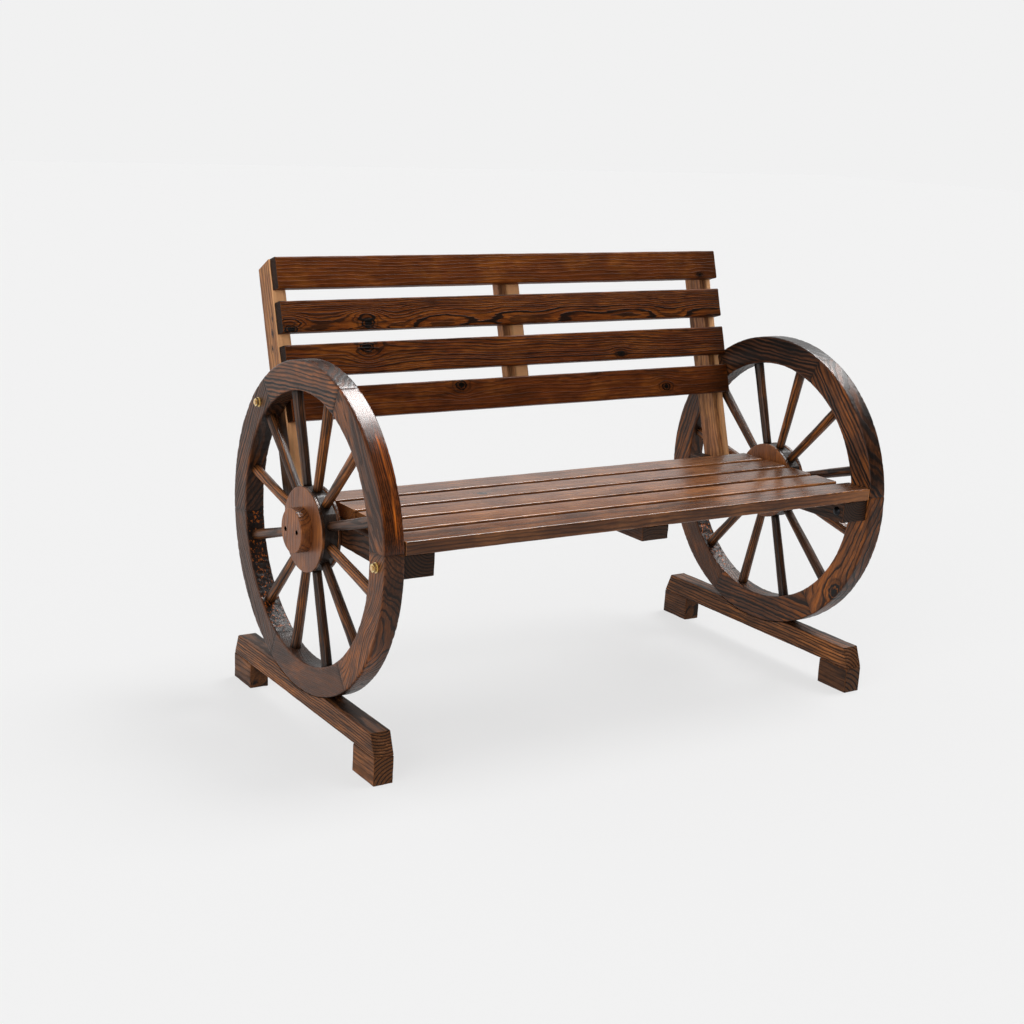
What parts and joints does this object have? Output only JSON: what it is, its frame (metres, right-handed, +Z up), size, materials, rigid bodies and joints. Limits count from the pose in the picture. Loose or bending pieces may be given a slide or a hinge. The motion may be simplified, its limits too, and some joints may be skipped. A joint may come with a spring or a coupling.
{
  "type": "wagon wheel bench",
  "caption": "Garden bench with a slatted seat and a leaning slatted back, bolted between spoked wooden wagon wheels that sit in footed base beams.",
  "frame": {"origin": "on the ground, midway between the wheels and straight under the hubs", "axes": "+X to the right as seen from the front, along the seat; +Y from the seat's front to its back; +Z up"},
  "size_m": [1.0834, 0.56, 0.7747],
  "materials": {
    "rim_wood": "charred and brushed softwood, satin clear coat",
    "spoke_wood": "turned, dark scorched streaks, satin clear coat",
    "hub_wood": "reddish brown, gloss clear coat",
    "core_wood": "dark grey, satin clear coat",
    "base_wood": "charred and brushed softwood, satin clear coat",
    "rail_wood": "dark scorched softwood, satin clear coat",
    "seat_wood": "scorched softwood, rounded edges, gloss clear coat",
    "back_wood": "red-brown scorched softwood with knots, gloss clear coat",
    "post_wood": "lighter tan softwood, satin clear coat",
    "dowel_wood": "plain hardwood, uncoated",
    "black_steel": "blackened steel, satin",
    "zinc_steel": "yellow zinc plated steel"
  },
  "bodies": {
    "root": {"left_felloe_1": "rim_wood", "left_felloe_2": "rim_wood", "left_felloe_3": "rim_wood", "left_felloe_4": "rim_wood", "left_felloe_5": "rim_wood", "left_felloe_6": "rim_wood", "right_felloe_1": "rim_wood", "right_felloe_2": "rim_wood", "right_felloe_3": "rim_wood", "right_felloe_4": "rim_wood", "right_felloe_5": "rim_wood", "right_felloe_6": "rim_wood", "left_spoke_pair_1": "spoke_wood", "left_spoke_pair_2": "spoke_wood", "left_spoke_pair_3": "spoke_wood", "left_spoke_pair_4": "spoke_wood", "left_spoke_pair_5": "spoke_wood", "left_spoke_pair_6": "spoke_wood", "right_spoke_pair_1": "spoke_wood", "right_spoke_pair_2": "spoke_wood", "right_spoke_pair_3": "spoke_wood", "right_spoke_pair_4": "spoke_wood", "right_spoke_pair_5": "spoke_wood", "right_spoke_pair_6": "spoke_wood", "left_hub_core": "core_wood", "left_inner_hub_disc": "hub_wood", "left_outer_hub_disc": "hub_wood", "left_hub_boss": "hub_wood", "right_hub_core": "core_wood", "right_inner_hub_disc": "hub_wood", "right_outer_hub_disc": "hub_wood", "right_hub_boss": "hub_wood", "seat_slat_1": "seat_wood", "seat_slat_2": "seat_wood", "seat_slat_3": "seat_wood", "seat_slat_4": "seat_wood", "seat_slat_5": "seat_wood", "back_slat_1": "back_wood", "back_slat_2": "back_wood", "back_slat_3": "back_wood", "back_slat_4": "back_wood", "left_back_post": "post_wood", "left_seat_rail": "rail_wood", "left_base_beam": "base_wood", "right_back_post": "post_wood", "right_seat_rail": "rail_wood", "right_base_beam": "base_wood", "left_front_foot": "base_wood", "left_rear_foot": "base_wood", "right_front_foot": "base_wood", "right_rear_foot": "base_wood", "seat_batten": "post_wood", "back_batten": "post_wood", "felloe_dowels": "dowel_wood", "carriage_bolts": "black_steel", "flange_nuts": "zinc_steel", "slat_screws": "zinc_steel", "base_screws": "zinc_steel", "hub_screws": "zinc_steel"}
  },
  "joints": []
}
